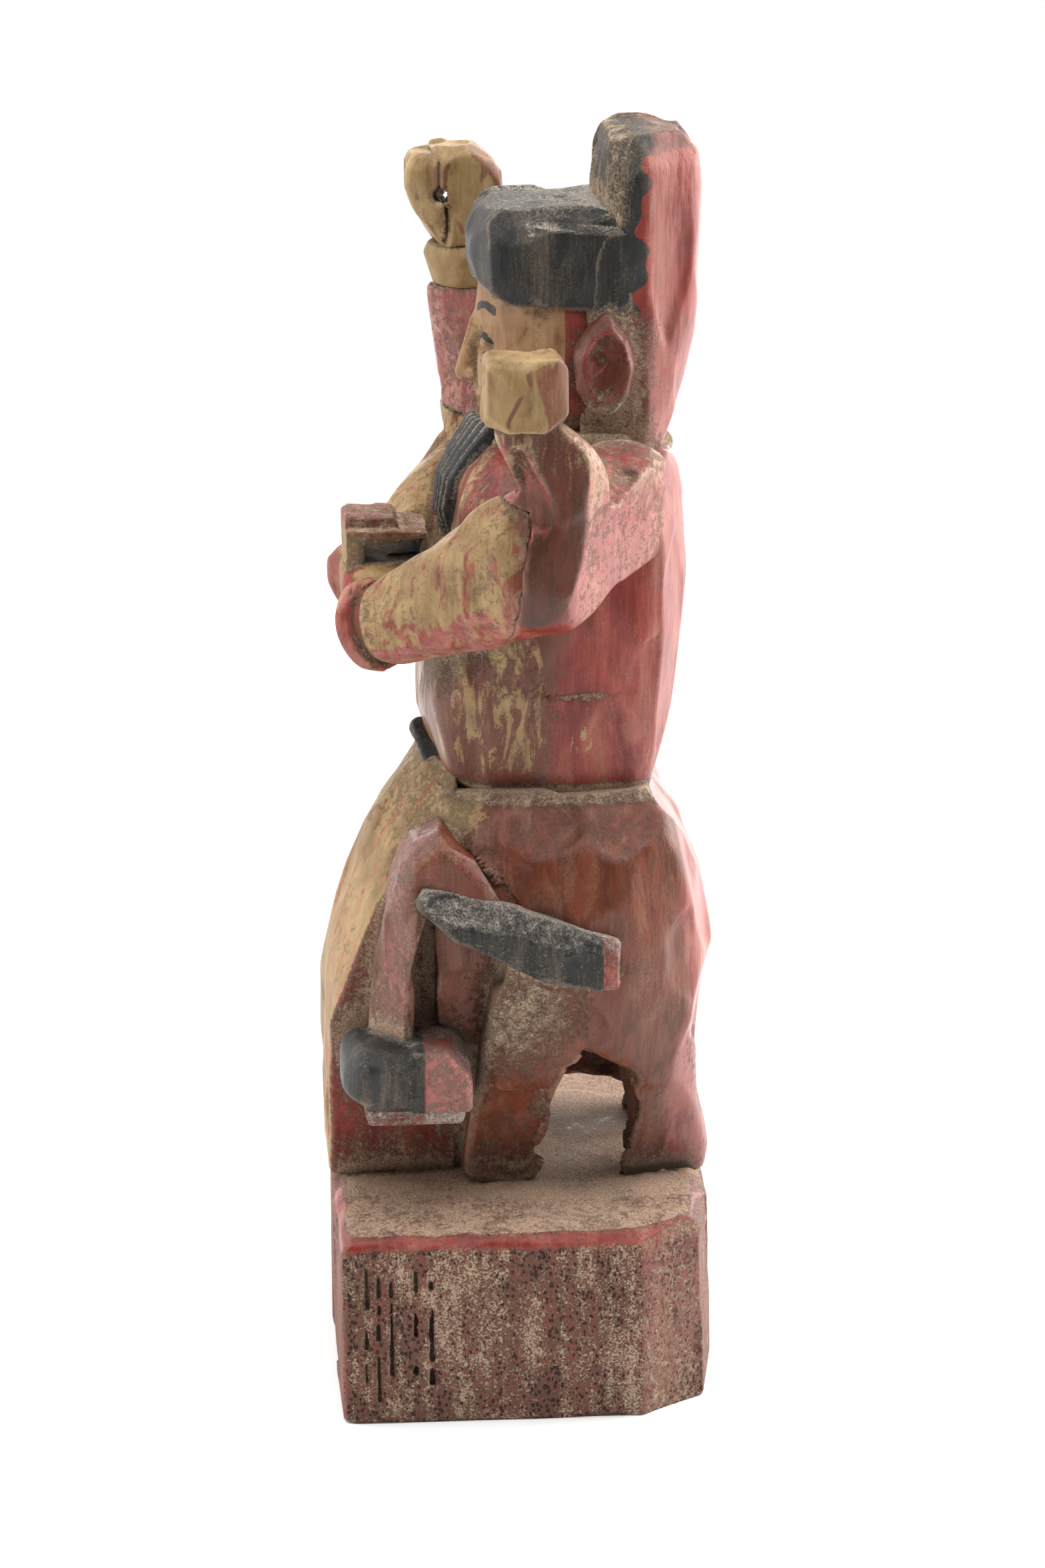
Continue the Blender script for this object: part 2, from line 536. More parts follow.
def hands_field(x, y, z):
    ax = np.abs(x)
    palm = ball(ax, y, z, (6.5, -33.0, 179.6), (9.5, 8.2, 8.6))
    palm = smax(palm, block(x, y, z, (-16, -40.5, 171.5), (16, -22, 187.2), 3), 3)
    for i in range(4):
        at_x = 1.4 + 3.6 * i
        line = cone(ax, y, z, (at_x, -41.2, 186.0), (at_x + 0.8, -40.2, 173.0), 0.9, 0.6)
        palm = smax(palm, -line, 1.0)
    return palm


BOX_SIDE = [(-39.2, 185), (-21, 185), (-21, 193.8), (-27.2, 194.6), (-28.2, 196.8), (-38.4, 197.4),
            (-39.4, 196.2)]


def held_box_field(x, y, z):
    d = smax(outline(y, z, BOX_SIDE) + 0 * x, np.abs(x) - 9.3, 0.9)
    step = block(x, y, z, (-30, -50, 194.4), (30, -10, 210))
    upper = smax(np.abs(x + 1) - 6.8, -40 - y, 0.2)
    d = smax(d, -smax(step, -upper, 0.2), 0.5)
    slot = outline(y, z, [(-35.5, 186.4), (-22.6, 187.6), (-22.0, 192.6), (-35.4, 191.2)]) + 0 * x
    slot = slot + 0.25 * wobble(x, y, z, 1.5, 0.9)
    return smax(d + 0.08 * wobble(x, y, z, 2.5), -slot, 0.35)


def left_fist_field(x, y, z):
    c = LEFT_WRIST
    d = block(x, y, z, c + [-7.5, -9.8, -1.0], c + [6.6, 7.4, 14.0], 1.6)
    for at, normal in (((4, -8.4, 0.6), (0.30, -0.66, -0.69)), ((4, 6.2, 0.8), (0.30, 0.72, -0.62)),
                       ((0, 7.0, 12.6), (0, 0.80, 0.60)), ((0, -9.4, 12.6), (0, -0.70, 0.71)),
                       ((6.4, -6, 7), (0.95, -0.30, 0.02)), ((6.2, 2.0, 7), (0.93, 0.36, 0.05)),
                       ((5.6, 0, 12.6), (0.66, -0.1, 0.75))):
        d = smax(d, plane(x, y, z, c + at, normal), 0.8)
    groove = cone(x, y, z, c + [7.3, -0.6, 15.0], c + [7.5, 0.8, 3.5], 1.1, 0.5)
    d = smax(d, -groove, 0.8)
    for k in range(3):
        line = cone(x, y, z, c + [-8.4, -6 + 4 * k, 14.5], c + [-8.4, -6 + 4 * k, 2], 0.9, 0.9)
        d = smax(d, -line, 1.0)
    return d


BORE_MOUNT = next(m for m in frame["record"]["mounts"] if m["name"] == "right_fist_bore")
BORE_AT = np.array(BORE_MOUNT["pos_m"]) / MM
BORE_AXIS = np.array(BORE_MOUNT["axis"])
BORE_R = BORE_MOUNT["dims"]["r_mm"]


def bore_distance(x, y, z):
    s = plane(x, y, z, BORE_AT, BORE_AXIS)
    n = BORE_AXIS / np.linalg.norm(BORE_AXIS)
    px, py, pz = x - BORE_AT[0] - n[0] * s, y - BORE_AT[1] - n[1] * s, z - BORE_AT[2] - n[2] * s
    return np.sqrt(px * px + py * py + pz * pz) - BORE_R


def right_fist_field(x, y, z):
    c = RIGHT_WRIST
    side = [(-14.2, 249), (-19.6, 256.5), (-21.8, 263), (-22.0, 267.5), (-19.6, 270.8), (-16, 272.2),
            (-7.5, 272.3), (-3.6, 270), (-0.2, 265), (0.2, 260.5), (-2.0, 255), (-4.0, 249)]
    d = smax(outline(y, z, side) + 0 * x, np.abs(x - c[0]) - 9.2, 5)
    split = block(x, y, z, (-70, -15.4, 262.5), (-30, -14.2, 269.5), 0.1)
    split = np.minimum(split, block(x, y, z, (-70, -13.9, 250), (-30, -13.2, 259), 0.1))
    split = smax(split, -(x - c[0] - 7.2), 0.3)
    d = smax(d, -split, 0.3)
    step = block(x, y, z, (-70, -40, 270.3), (-30, -15.6, 280), 0.3)
    d = smax(d, -step, 0.8)
    d = smax(d, -bore_distance(x, y, z), 0.5)
    return d


def ring_field(x, y, z):
    c = RIGHT_WRIST
    r = np.sqrt((x - c[0]) ** 2 + (y - c[1] - 0.6) ** 2)
    wall = r - curve_at(z, [(c[2], 8.2), (c[2] + 7.2, 10.3), (c[2] + 10, 9.0)])
    return smax(wall, np.abs(z - c[2] - 4.9) - 4.9, 0.9)


def mirrored(field):
    return lambda x, y, z: field(-x, y, z)


# ------------------------------------------------------------------ from fields to carved meshes

def lattice(low, high, pitch):
    """Open grid axes that cover a box."""
    axes = [np.arange(low[i], high[i] + pitch, pitch, dtype=np.float32) for i in range(3)]
    return axes[0][:, None, None], axes[1][None, :, None], axes[2][None, None, :]


def surface(field, low, high, pitch):
    """The zero surface of a field as points in mm and outward quads."""
    x, y, z = lattice(low, high, pitch)
    d = np.broadcast_to(field(x, y, z), (x.size, y.size, z.size))
    band = 3 * pitch
    grid = openvdb.FloatGrid(band)
    grid.copyFromArray(np.clip(d, -band, band).astype(np.float32))
    points, quads = grid.convertToQuads(isovalue=0.0)
    points = points.astype(np.float64) * pitch + np.array([x.flat[0], y.flat[0], z.flat[0]])
    quads = quads.astype(np.int64)
    corner = points[quads]
    spin = np.cross(corner[:, 2] - corner[:, 0], corner[:, 3] - corner[:, 1])
    if np.einsum("ij,ij->", spin, corner.mean(1)) < 0:
        quads = quads[:, ::-1]
    return points, quads


def scatter_sum(index, values, count):
    """Sums rows of values into count bins."""
    return np.stack([np.bincount(index, values[:, i], count) for i in range(values.shape[1])], 1)


def normals_of(points, quads):
    corner = points[quads]
    spin = np.cross(corner[:, 2] - corner[:, 0], corner[:, 3] - corner[:, 1])
    total = scatter_sum(quads.ravel(), np.repeat(spin, 4, 0), len(points))
    return total / np.maximum(np.linalg.norm(total, axis=1, keepdims=True), 1e-12)


def relaxed(values, quads, passes):
    """Values averaged with their neighbours, several times over."""
    a = quads.ravel()
    b = np.roll(quads, -1, 1).ravel()
    index = np.concatenate([a, b])
    other = np.concatenate([b, a])
    count = np.maximum(np.bincount(index, minlength=len(values)), 1)[:, None]
    for _ in range(passes):
        values = 0.5 * values + 0.5 * scatter_sum(index, values[other], len(values)) / count
    return values


def facet_seeds(points, normals, size, stretch, seed):
    """Points spread over a surface, one for each knife cut, with slightly turned normals."""
    rng = np.random.default_rng(seed)
    order = rng.permutation(len(points))[:4000]
    scaled = points / (size * np.asarray(stretch, float))
    chosen = []
    for i in order:
        near = rng.uniform(0.75, 1.25)
        if not chosen or np.min(np.sum((scaled[chosen] - scaled[i]) ** 2, 1)) > near * near:
            chosen.append(i)
    turned = normals[chosen] + rng.normal(0, 0.045, (len(chosen), 3))
    turned /= np.linalg.norm(turned, axis=1, keepdims=True)
    lift = rng.uniform(-0.12, 0.06, len(chosen))
    return points[chosen] + turned * lift[:, None], turned


def planed(points, normals, seeds, size, stretch, depth, crisp=9.0):
    """Moves points onto the plane of the nearest knife cut, by at most depth mm."""
    at, facing = seeds
    k = 1 / (size * np.asarray(stretch, float))
    a = np.hstack([points * k, normals * 0.9])
    b = np.hstack([at * k, facing * 0.9])
    moved = points.copy()
    for start in range(0, len(points), 20000):
        part = slice(start, start + 20000)
        d2 = np.sum(a[part] ** 2, 1)[:, None] + np.sum(b ** 2, 1) - 2 * a[part] @ b.T
        w = np.exp(-crisp * (d2 - d2.min(1, keepdims=True)))
        off = points[part] @ facing.T - np.sum(at * facing, 1)
        agree = np.maximum(normals[part] @ facing.T, 0.35)
        shift = np.sum(w * off / agree, 1) / np.sum(w, 1)
        shift = depth * np.tanh(shift / depth)
        moved[part] = points[part] - normals[part] * shift[:, None]
    return moved


# Every carved form: its field, the CAD nodes it stands for, its body, its material slot, the size
# of its knife facets and how far they stretch along x, y and z.
RED, GOLD, BLACK, FLESH = "red_lacquer", "gold_paint", "black_paint", "flesh_paint"
ARM_CUTS = dict(size=9, stretch=(1.3, 1.3, 1.3), depth=1.0)
FORMS = [
    dict(name="carved_plinth", nodes=["plinth"], field=plinth_field, slot=RED, size=15,
         stretch=(1, 1, 2.2), depth=0.25),
    dict(name="carved_robe", nodes=["robe_seat"], field=robe_field, slot=RED, size=13,
         stretch=(1, 1, 1.25), depth=1.4),
    dict(name="carved_panel", nodes=["front_panel"], field=panel_field, slot=GOLD, size=10,
         stretch=(1, 1, 2.6), depth=0.5, finish="lined_gold"),
    dict(name="left_shin", nodes=["left_leg"], field=leg_field, slot=RED, size=7, stretch=(1, 1, 2.4)),
    dict(name="right_shin", nodes=["right_leg"], field=far_leg_field, slot=RED, size=7,
         stretch=(1, 1, 2.4)),
    dict(name="left_carved_boot", nodes=["left_boot"], field=boot_field, slot=BLACK, size=9,
         depth=0.15),
    dict(name="right_carved_boot", nodes=["right_boot"], field=far_boot_field, slot=BLACK,
         size=9, depth=0.15),
    dict(name="carved_scabbard", nodes=["hip_scabbard"], field=scabbard_field, slot=BLACK, size=6,
         stretch=(1, 1.8, 1), pitch=0.5),
    dict(name="carved_torso", nodes=["torso"], field=torso_field, slot=RED, size=9,
         stretch=(1, 1, 2.4), depth=0.9),
    dict(name="carved_back_cover", nodes=["back_cover"], field=cover_field, slot=RED, size=9,
         stretch=(1, 1, 2.4), body="cover"),
    dict(name="carved_belt_knot", nodes=["belt_knot"], field=knot_field, slot=BLACK, size=4, pitch=0.4),
    dict(name="carved_collar", nodes=["collar"], field=collar_field, slot=GOLD, size=6, depth=0.3),
    dict(name="carved_head", nodes=["head"], field=head_field, slot=FLESH, size=5, depth=0.22,
         pitch=0.45),
    dict(name="left_carved_ear", nodes=["left_ear"], field=ear_field, slot=RED, size=4, depth=0.3,
         pitch=0.4),
    dict(name="right_carved_ear", nodes=["right_ear"], field=mirrored(ear_field), slot=RED, size=4,
         depth=0.3, pitch=0.4),
    dict(name="carved_cap", nodes=["hat_cap"], field=cap_field, slot=BLACK, size=8),
    dict(name="carved_crown", nodes=["hat_crown"], field=crown_field, slot=RED, size=8,
         stretch=(1, 1, 3.0), depth=0.9),
    dict(name="carved_beard", nodes=["beard"], field=beard_field, slot=BLACK, size=8, depth=0.05,
         pitch=0.35),
    dict(name="left_carved_sleeve", nodes=["left_sleeve"], field=arm_part(left_arms, 1),
         whole=left_arms, margin=14, slot=GOLD, **ARM_CUTS),
    dict(name="left_carved_raised_arm", nodes=["left_raised_arm"], field=arm_part(left_arms, -1),
         whole=left_arms, slot=RED, **ARM_CUTS),
    dict(name="right_carved_sleeve", nodes=["right_sleeve"], field=arm_part(right_arms, 1),
         whole=right_arms, margin=14, slot=GOLD, **ARM_CUTS),
    dict(name="right_carved_raised_arm", nodes=["right_raised_arm"], field=arm_part(right_arms, -1),
         whole=right_arms, slot=RED, **ARM_CUTS),
    dict(name="left_carved_cuff", nodes=["left_cuff"], field=cuff_field, slot=GOLD, size=5, depth=0.3,
         pitch=0.45),
    dict(name="right_carved_cuff", nodes=["right_cuff"], field=mirrored(cuff_field), slot=GOLD, size=5,
         depth=0.3, pitch=0.45),
    dict(name="carved_hands", nodes=["joined_hands"], field=hands_field, slot=GOLD, size=5, depth=0.4,
         pitch=0.45),
    dict(name="carved_box", nodes=["held_box"], field=held_box_field, slot=GOLD, size=6, depth=0.25,
         pitch=0.4),
    dict(name="left_carved_fist", nodes=["left_fist"], field=left_fist_field, slot=GOLD, size=6,
         depth=0.6, pitch=0.45),
    dict(name="right_carved_fist", nodes=["right_fist"], field=right_fist_field, slot=GOLD, size=6.5,
         depth=0.7, pitch=0.4),
    dict(name="carved_wrist_ring", nodes=["wrist_ring"], field=ring_field, slot=GOLD, size=6,
         depth=0.3, pitch=0.45),
]
DEFAULT_PITCH = 0.65
MARGIN = 6.0
SOLID_PITCH = 1.6
SOLID_LOW = PLINTH_LOW - 14
SOLID_HIGH = np.array([PLINTH_HIGH[0], PLINTH_HIGH[1], CROWN_TOP]) + 14


def reach(form):
    """The box that a form's field is worked out in, taken from its CAD nodes."""
    corners = [box_mm(node) for node in form["nodes"]]
    low = np.min([c[0] for c in corners], 0) - form.get("margin", MARGIN)
    high = np.max([c[1] for c in corners], 0) + form.get("margin", MARGIN)
    low[2] = max(low[2], -1.2)
    return low, high


def all_solids():
    """The whole figure as one coarse field, for shade and dust in its hollows."""
    x, y, z = lattice(SOLID_LOW, SOLID_HIGH, SOLID_PITCH)
    total = np.full((x.size, y.size, z.size), 30.0, np.float32)
    axes = [x.ravel(), y.ravel(), z.ravel()]
    for form in FORMS:
        low, high = reach(form)
        cut = [slice(*np.searchsorted(axes[i], [low[i] - 8, high[i] + 8])) for i in range(3)]
        part = form["field"](x[cut[0]], y[:, cut[1]], z[:, :, cut[2]])
        total[tuple(cut)] = np.minimum(total[tuple(cut)], part)
    return total


SOLIDS = all_solids()


def solid_distance(points):
    """Distance from points to the nearest wood, read from the coarse field."""
    f = (points - SOLID_LOW) / SOLID_PITCH
    f = np.clip(f, 0, np.array(SOLIDS.shape) - 1.001)
    i = f.astype(int)
    t = f - i
    out = 0
    for corner in range(8):
        o = np.array([corner & 1, corner >> 1 & 1, corner >> 2])
        w = np.prod(np.where(o, t, 1 - t), 1)
        j = i + o
        out = out + w * SOLIDS[j[:, 0], j[:, 1], j[:, 2]]
    return out


def enclosure(points, normals):
    """How shut in a surface is, from 0 in the open to 1 in a deep hollow."""
    shut = 0
    for step, weight in ((2.5, 0.3), (5.0, 0.35), (10.0, 0.35)):
        clear = solid_distance(points + normals * step)
        shut = shut + weight * (1 - np.clip(clear / step, 0, 1))
    return shut


def bend_of(points, normals, quads, passes):
    """How far a surface stands proud of its own smoothed shape, in mm: edges +, hollows -."""
    return np.sum((points - relaxed(points, quads, passes)) * normals, 1)


def make_mesh(name, points, quads):
    mesh = bpy.data.meshes.new(name)
    mesh.vertices.add(len(points))
    mesh.vertices.foreach_set("co", (points * MM).astype(np.float32).ravel())
    mesh.loops.add(quads.size)
    mesh.loops.foreach_set("vertex_index", quads.astype(np.int32).ravel())
    mesh.polygons.add(len(quads))
    mesh.polygons.foreach_set("loop_start", np.arange(0, quads.size, 4, dtype=np.int32))
    mesh.polygons.foreach_set("loop_total", np.full(len(quads), 4, np.int32))
    mesh.update(calc_edges=True)
    mesh.polygons.foreach_set("use_smooth", np.ones(len(quads), bool))
    piece = bpy.data.objects.new(name, mesh)
    bpy.context.scene.collection.objects.link(piece)
    return piece


def store(piece, name, values):
    layer = piece.data.attributes.new(name, "FLOAT", "POINT")
    layer.data.foreach_set("value", np.clip(values, 0, 1).astype(np.float32))


def hash_of(word):
    """A seed that is the same on every run."""
    return sum(ord(c) * (i + 3) for i, c in enumerate(word))


def carve(form, index):
    """Makes one form's mesh, cuts its facets and stores its paint, dust, dirt and wear."""
    pitch = form.get("pitch", DEFAULT_PITCH)
    size = form["size"]
    stretch = form.get("stretch", (1, 1, 1.6))
    low, high = reach(form)
    points, quads = surface(form["field"], low, high, pitch)
    normals = normals_of(points, quads)
    whole = form.get("whole")
    if whole:
        source, source_quads = surface(whole, low - 25, high + 25, 1.2)
        seeds = facet_seeds(source, normals_of(source, source_quads), size, stretch,
                            hash_of(whole.__name__))
        skin = np.clip(1 - np.abs(whole(*points.T)) / 0.5, 0, 1)
    else:
        seeds = facet_seeds(points, normals, size, stretch, index + 11)
        skin = np.ones(len(points))
    cut = planed(points, normals, seeds, size, stretch, form.get("depth", 0.8))
    points = points + (cut - points) * skin[:, None]
    points[:, 2] = np.maximum(points[:, 2], 0)
    normals = normals_of(points, quads)
    piece = make_mesh(form["name"], points, quads)
    shut = enclosure(points, normals)
    fine = bend_of(points, normals, quads, 3)
    broad = bend_of(points, normals, quads, 24)
    store(piece, "shut", relaxed(shut[:, None], quads, 2)[:, 0])
    store(piece, "edge", np.clip(fine / 0.16, 0, 1) * 0.5 + np.clip(broad / 0.6, 0, 1) * 0.5)
    store(piece, "hollow", np.clip(-fine / 0.16, 0, 1) * 0.4 + np.clip(-broad / 0.6, 0, 1) * 0.6)
    masks = paint_of(form["name"])(points, normals)
    for name in MASKS:
        store(piece, name, np.broadcast_to(masks.get(name, 0.0), len(points)))
    return piece


# ------------------------------------------------------------------ where the paint lies

MASKS = ("gold", "red", "black", "flesh", "glaze", "dust", "pale", "porous", "lines", "dark")


def band(v, low, high, soft=2.0):
    """1 between low and high, falling to 0 over soft."""
    return np.clip((v - low) / soft + 0.5, 0, 1) * np.clip((high - v) / soft + 0.5, 0, 1)


def spot(p, at, radii):
    """1 at a place, falling to 0 at an ellipsoid round it."""
    q = (p - np.asarray(at, float)) / np.asarray(radii, float)
    return np.clip(1.6 - 1.6 * np.linalg.norm(q, axis=1), 0, 1)


def plinth_paint(p, n):
    x, y, z = p.T
    top = band(n[:, 2], 0.86, 2, 0.2)
    near = band(n[:, 1], -0.6, 0.3, 0.3)
    behind = band(n[:, 1], 0.2, 2, 0.3) * (1 - top)
    edge = band(z, PLINTH_TOP - 3.0, 60, 1.0) * (1 - top)
    sunk = np.clip((-plinth_side(x, y, z) - 0.45) / 0.3, 0, 1) * band(z, 3, PLINTH_TOP - 3.5, 0.5)
    low = np.clip((9 - z) / 9, 0, 1)
    return {"porous": (1 - top) * (1 - edge) * (0.45 + 0.55 * near - 0.15 * behind),
            "dust": np.maximum.reduce([top, 0.75 * behind, 0.35 * edge * (y < 0)]),
            "pale": 0.40 * behind + 0.6 * top, "red": edge, "dark": np.maximum(sunk, 0.2 * low)}


def robe_paint(p, n):
    ax, y, z = np.abs(p[:, 0]), p[:, 1], p[:, 2]
    side = np.stack([ax, y, z], 1)
    drift = 5 * wobble(p[:, 0], y, z, 7.0, 0.8)
    waist = band(z, 136.5, 150, 2) * band(n[:, 2], 0.3, 2, 0.4)
    brown = band(y + drift, -60, 33, 12) * band(z + drift, 30, 140, 6)
    brown = brown * (0.75 + 0.25 * band(y, -13, 60, 2))
    low = np.clip((92 - z) / 16, 0, 1)
    crust = np.maximum(spot(side, (40, -1, 91), (18, 21, 25)),
                       0.8 * spot(side, (46, 2, 101), (9, 26, 8))) * (0.72 + 0.05 * drift)
    inside = np.clip((curve_at(z, SEAT_HALF) - 5 - ax) / 3, 0, 1) * (z < 80)
    corner = spot(side, (29, -17, 135), (16, 12, 12))
    return {"glaze": brown,
            "dust": np.maximum.reduce([0.85 * waist, 0.5 * inside, crust, 0.30 * low, 0.6 * corner]),
            "pale": np.maximum(0.75 * band(y + drift, 31, 90, 8), 0.35 * band(z, 126, 150, 6)),
            "dark": 0.12 * low * band(z, 40, 52, 5) + 0.40 * band(z, 40, 92, 10) * band(y, 14, 60, 6),
            "gold": 0.75 * corner}


def panel_paint(p, n):
    side = np.clip((np.abs(n[:, 0]) - 0.55) / 0.2, 0, 1) * (p[:, 1] > -45.2)
    upper = np.clip((p[:, 2] - 118) / 16, 0, 1)
    return {"red": side, "lines": 1.0 - side, "dust": 0.34 + 0.25 * side + 0.25 * upper,
            "glaze": 0.22 * (1 - side), "pale": 0.22}


def leg_paint(p, n):
    front = band(n[:, 1], -2, -0.3, 0.4)
    return {"pale": 0.50 * front + 0.15, "dust": 0.42 * front + 0.35 * band(p[:, 2], 76, 88, 6) + 0.2,
            "glaze": 0.62}


def boot_paint(p, n):
    ankle = band(p[:, 1], TOE_END, 0, 0.6)
    sole = band(p[:, 2], 50, 71.2, 1.0)
    return {"red": np.maximum(ankle, sole), "pale": 0.75 * ankle + 0.3 * sole,
            "dust": 0.30 + 0.22 * ankle + 0.40 * sole}


def scabbard_paint(p, n):
    butt = band(p[:, 1], 14.6, 40, 0.8)
    upper = band(n[:, 2], 0.45, 2, 0.3)
    return {"red": butt, "pale": 0.5 * butt, "dust": 0.48 + 0.34 * upper}


def torso_paint(p, n):
    y, z = p[:, 1] + 6 * wobble(p[:, 0], p[:, 1], p[:, 2] * 0.5, 6.0, 1.7), p[:, 2]
    front = np.clip((18 - y) / 14, 0, 1)
    chest = np.clip((0 - y) / 8, 0, 1) * band(z, 172, 230, 8)
    patches = 0.45 * front * band(z, 142, 176, 6) + 0.45 * chest
    patches = np.maximum(patches, 0.60 * spot(p, (33, 12, 150), (12, 5, 9)))
    seam = band(z, 130, 140.0, 2)
    scar = spot(p, (32, 12, 161), (8, 13, 2.0))
    under_sleeve = front * band(z, 158, 182, 8)
    neck = band(z, 210, 230, 4)
    return {"gold": patches,
            "dust": np.maximum.reduce([0.6 * seam, 0.85 * scar, 0.50 * chest, 0.42 * under_sleeve,
                                       0.22 * front, 0.3 * neck]),
            "glaze": np.maximum(0.95 * front * (1 - chest), 0.25),
            "pale": np.maximum(0.55 * band(y, 20, 60, 8), 0.35 * chest)}


def head_paint(p, n):
    x, y, z = p.T
    ax = np.abs(x)
    on_face = (y < 4).astype(float)
    brow_z = EYE_Z + 6.2 + 1.6 * np.sin(np.clip((ax - 2.5) / 9, 0, 1) * math.pi * 0.9)
    brow = band(z, brow_z - 0.9, brow_z + 0.9, 0.9) * band(ax, 2.6, 11.5, 1)
    lid_z = EYE_Z + 1.3 - 0.10 * (ax - EYE_X) ** 2
    lid = band(z, lid_z - 0.35, lid_z + 0.35, 0.5) * band(ax, EYE_X - 3.6, EYE_X + 3.9, 0.6)
    pupil = np.clip(1.8 - np.hypot(ax - EYE_X, z - EYE_Z + 0.1) / 0.9, 0, 1)
    lips = band(z, MOUTH_Z - 2.3, MOUTH_Z + 2.1, 0.8) * band(ax, -1, 4.4, 0.8)
    return {"black": on_face * np.maximum.reduce([brow, lid, pupil]),
            "red": np.maximum(band(y, 8.5, 90, 1.0), 0.85 * on_face * lips),
            "dust": 0.16 + 0.3 * band(z, CHIN, CHIN + 5, 3), "glaze": 0.45 * band(y, 5.5, 8.5, 1.5)}


def ear_paint(p, n):
    ax = np.abs(p[:, 0])
    rim = np.clip((ax - 23.2) / 1.2, 0, 1)
    return {"pale": 0.60 * rim, "glaze": 0.55 * (1 - rim), "dark": 0.35 * (1 - rim),
            "dust": 0.22 + 0.30 * rim + 0.35 * band(p[:, 2], 215, 227, 4)}


def cap_paint(p, n):
    return {"dust": 0.24 + 0.60 * band(n[:, 2], 0.7, 2, 0.3)}


def crown_paint(p, n):
    y, z = p[:, 1], p[:, 2]
    border = 25.5 + 1.5 * np.sin(z * 0.35) + 0.9 * np.sin(z * 0.9 + 1)
    front = band(y, -50, border, 2.4) * band(z, 244, 300, 2)
    rim = band(z, CROWN_TOP - 5.5 + 0.10 * (y - 28), 400, 2.2)
    top = band(n[:, 2], 0.75, 2, 0.25) * band(z, CROWN_TOP - 4, 400, 1)
    nape = band(z, 205, 246, 6) * band(y, -50, 30, 6)
    inner = band(n[:, 1], -2, -0.4, 0.3) * band(z, CAP_STEP, 300, 2)
    return {"black": np.maximum(front, rim),
            "dust": np.maximum(0.68 * top, 0.62 * nape) + 0.20 * front + 0.5 * inner,
            "pale": 0.72 * band(y, 26, 60, 6)}


def beard_paint(p, n):
    return {"dust": 0.12 + 1.1 * (1 - strand_height(p[:, 0], p[:, 2])) ** 2}


def sleeve_paint(p, n):
    under = band(n[:, 2], -2, -0.35, 0.4)
    back = np.clip((p[:, 1] + 10) / 14, 0, 1)
    return {"red": 0.24 * back + 0.2 * under + 0.39, "pale": 0.3 * under + 0.30,
            "glaze": 0.50 * back + 0.30, "dust": 0.40}


def raised_paint(p, n):
    y, z = p[:, 1], p[:, 2]
    high = np.clip((z - 205) / 15, 0, 1)
    face = band(n[:, 0], 0.82, 2, 0.15) * (1 - 0.5 * high)
    behind = band(n[:, 1], 0.35, 2, 0.3)
    upper = band(n[:, 2], 0.3, 2, 0.4) * band(y, 4, 60, 6)
    return {"gold": 0.44 * high + 0.35 * behind, "glaze": face + 0.3 * (1 - behind),
            "pale": np.maximum(0.75 * behind, 0.7 * upper), "dark": 0.75 * face,
            "dust": 0.06 + np.maximum.reduce([0.40 * behind, 0.30 * high, 0.55 * upper])}


def cuff_paint(p, n):
    axis = SLEEVE_AXIS / np.linalg.norm(SLEEVE_AXIS)
    q = p * [np.sign(p[:, 0].mean()), 1, 1] - MOUTH
    s = q @ axis
    groove = band(s, -1.5, 1.6, 0.8)
    return {"red": 0.62, "pale": 0.65 * (1 - groove), "glaze": 0.9 * groove, "dust": 0.2}


def hands_paint(p, n):
    return {"red": 0.75 * spot(p, (8, -38, 184), (9, 9, 5)), "pale": 0.3, "dust": 0.2}


def box_paint(p, n):
    upper = band(p[:, 2], 193.5, 230, 1)
    deep = band(p[:, 2], 187, 193, 1) * band(p[:, 1], -36.5, -20, 1)
    return {"red": 0.32 * upper + 0.25, "pale": 0.5 * upper, "dark": 0.9 * deep,
            "dust": 0.48 + 0.2 * band(n[:, 2], 0.7, 2, 0.3)}


def fist_paint(p, n):
    behind = band(n[:, 1], 0.2, 2, 0.2)
    return {"glaze": 0.30 * band(n[:, 2], -2, 0.5, 0.5) + 0.55 * behind, "red": 0.12 + 0.1 * behind,
            "dust": 0.16}


def ring_paint(p, n):
    return {"pale": 0.3, "dust": 0.2 + 0.25 * band(n[:, 2], 0.7, 2, 0.3)}


def even_paint(**amounts):
    return lambda p, n: amounts


# What each form wears. A name without its side serves both sides.
PAINTS = {
    "carved_plinth": plinth_paint, "carved_robe": robe_paint, "carved_panel": panel_paint,
    "shin": leg_paint, "carved_boot": boot_paint, "carved_scabbard": scabbard_paint,
    "carved_torso": torso_paint, "carved_back_cover": even_paint(pale=0.28, dust=0.1),
    "carved_collar": even_paint(dust=0.62, red=0.25), "carved_head": head_paint,
    "carved_ear": ear_paint, "carved_cap": cap_paint, "carved_crown": crown_paint,
    "carved_beard": beard_paint, "carved_sleeve": sleeve_paint,
    "left_carved_raised_arm": raised_paint,
    "right_carved_raised_arm": even_paint(pale=0.85, dust=0.50, gold=0.40),
    "carved_cuff": cuff_paint, "carved_hands": hands_paint, "carved_box": box_paint,
    "carved_fist": fist_paint, "carved_wrist_ring": ring_paint, "carved_belt_knot": even_paint(),
}


def paint_of(name):
    """The paint of a form, looked up with its side and then without it."""
    return PAINTS.get(name) or PAINTS[name.removeprefix("left_").removeprefix("right_")]


# ------------------------------------------------------------------ materials

